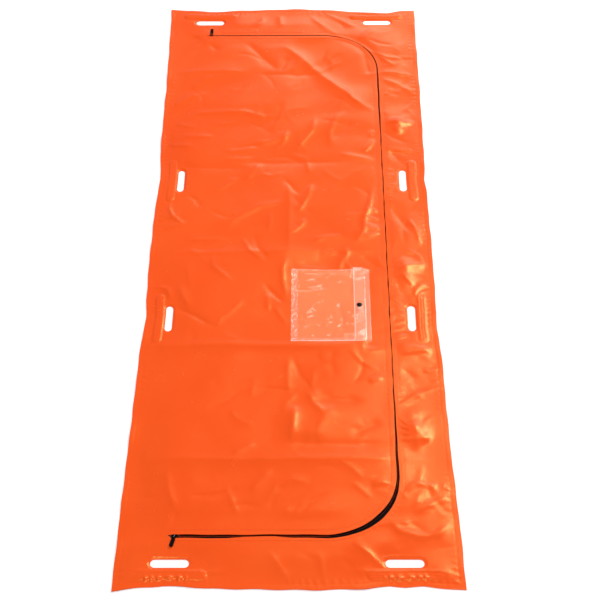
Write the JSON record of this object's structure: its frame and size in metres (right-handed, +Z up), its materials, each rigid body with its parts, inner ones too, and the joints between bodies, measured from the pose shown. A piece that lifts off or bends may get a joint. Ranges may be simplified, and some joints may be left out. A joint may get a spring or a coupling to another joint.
{
  "type": "rescue pouch",
  "caption": "Flat zipped rescue pouch of orange PVC sheet with hand slots welded through its edges, a fold-back top and a clear document pocket.",
  "frame": {"origin": "middle of the underside, on the floor", "axes": "+Y towards the head end, +X towards the zip's long run, +Z up out of the top sheet"},
  "size_m": [0.8, 2.2, 0.0176],
  "materials": {
    "pvc_sheet": "satin",
    "grip_strip": "matte",
    "zip_tape": "matte",
    "zip_coil": "satin",
    "thread": "matte",
    "zip_metal": "satin",
    "slider_metal": "satin",
    "pull_tab": "matte",
    "clear_film": "gloss",
    "snap_black": "gloss",
    "snap_steel": "satin"
  },
  "bodies": {
    "bag": {"bottom_sheet": "pvc_sheet", "border_sheet": "pvc_sheet", "grip_head_left": "grip_strip", "grip_head_right": "grip_strip", "grip_right_upper": "grip_strip", "grip_right_lower": "grip_strip", "grip_foot_right": "grip_strip", "grip_foot_left": "grip_strip", "grip_left_lower": "grip_strip", "grip_left_upper": "grip_strip", "zip_tape_outer": "zip_tape", "zip_coil_outer": "zip_coil", "zip_stitching_outer": "thread", "zip_stop_head": "zip_metal", "zip_stop_foot": "zip_metal"},
    "flap": {"opening_flap": "pvc_sheet", "zip_tape_inner": "zip_tape", "zip_coil_inner": "zip_coil", "zip_stitching_inner": "thread", "pocket_back_film": "clear_film", "pocket_front_film": "clear_film", "snap_stud": "snap_steel", "snap_post": "snap_steel"},
    "pocket_cover": {"pocket_lid": "clear_film", "snap_socket": "snap_steel", "snap_cap": "snap_black"},
    "head_slide": {"head_slider": "slider_metal"},
    "foot_slide": {"foot_slider": "slider_metal"},
    "head_pull": {"head_pull_link": "zip_metal", "head_pull_tab": "pull_tab"},
    "foot_pull": {"foot_pull_link": "zip_metal", "foot_pull_tab": "pull_tab"}
  },
  "joints": [
    {"name": "flap_fold", "type": "hinge", "parent": "bag", "child": "flap", "pos_m": [-0.278, 0, 0.0067], "axis": [0, -1, 0], "range_deg": [0, 175]},
    {"name": "pocket_cover_fold", "type": "hinge", "parent": "flap", "child": "pocket_cover", "pos_m": [0.213, -0.225, 0.0074], "axis": [0, 1, 0], "range_deg": [0, 150]},
    {"name": "head_slider_run", "type": "slide", "parent": "bag", "child": "head_slide", "axis": [1, 0, 0], "range_m": [0, 0.34]},
    {"name": "foot_slider_run", "type": "slide", "parent": "bag", "child": "foot_slide", "axis": [1, 0, 0], "range_m": [0, 0.34]},
    {"name": "head_pull_swing", "type": "hinge", "parent": "head_slide", "child": "head_pull", "pos_m": [-0.262, 0.957, 0.009], "axis": [1, 0, 0], "range_deg": [0, 180]},
    {"name": "foot_pull_swing", "type": "hinge", "parent": "foot_slide", "child": "foot_pull", "pos_m": [-0.262, -0.957, 0.009], "axis": [-1, 0, 0], "range_deg": [0, 180]}
  ]
}
